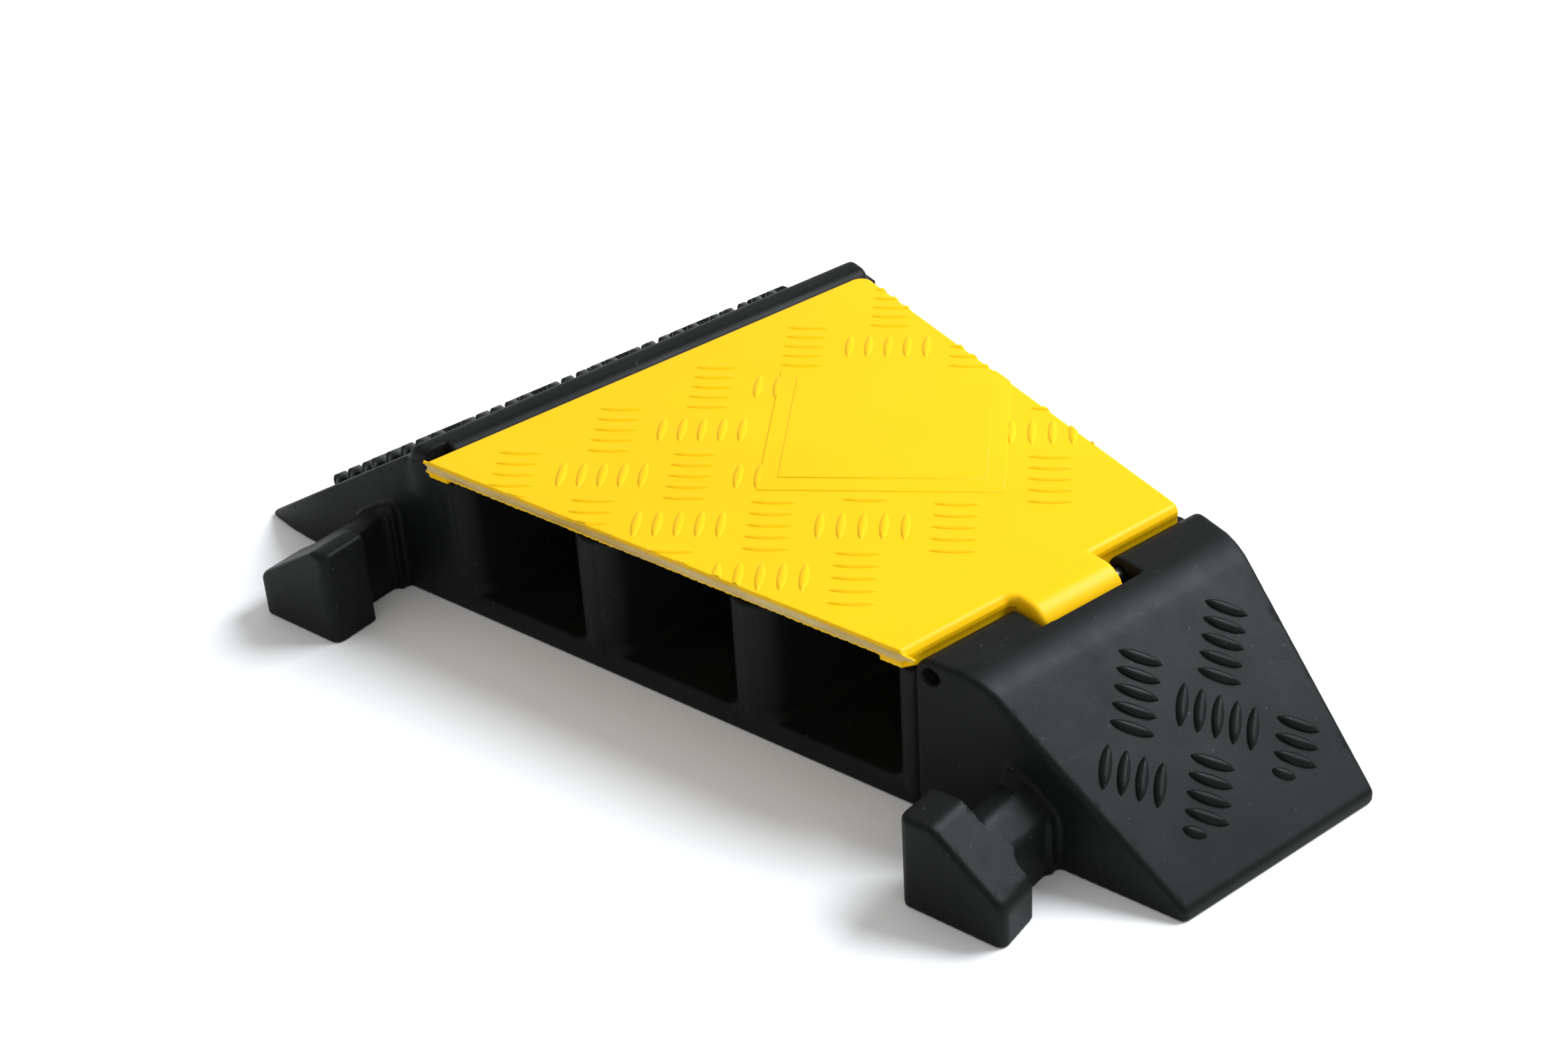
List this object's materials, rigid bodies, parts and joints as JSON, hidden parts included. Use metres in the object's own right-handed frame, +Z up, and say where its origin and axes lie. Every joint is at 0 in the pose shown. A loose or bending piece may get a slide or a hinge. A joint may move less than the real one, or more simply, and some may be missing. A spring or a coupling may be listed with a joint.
{
  "type": "cable protector ramp",
  "caption": "Turn section of a low drive-over cable ramp: a black rubber base with straight cable channels between two slopes, T connectors, and a hinged yellow tread lid.",
  "frame": {"origin": "on the ground under the middle of the section, halfway across its width and halfway between its two end faces on the centre line", "axes": "+Z up; X runs across the cable channels, from the outer ramp (-X, the long side) to the inner ramp (+X, the hinge side); Y runs along the channels, the male connectors at the -Y end"},
  "size_m": [0.5, 0.3443, 0.0805],
  "materials": {
    "base_rubber": "moulded satin black",
    "lid_plastic": "satin moulded safety yellow",
    "rod_steel": "drawn bright steel"
  },
  "bodies": {
    "base": {"channel_floor": "base_rubber", "outer_ramp": "base_rubber", "inner_ramp": "base_rubber", "outer_divider": "base_rubber", "inner_divider": "base_rubber", "outer_connector": "base_rubber", "inner_connector": "base_rubber", "hinge_rod": "rod_steel"},
    "lid": {"lid": "lid_plastic"}
  },
  "joints": [
    {"name": "lid_hinge", "type": "hinge", "parent": "base", "child": "lid", "pos_m": [0.1375, 0, 0.0675], "axis": [0, 1, 0], "range_deg": [0, 90]}
  ]
}
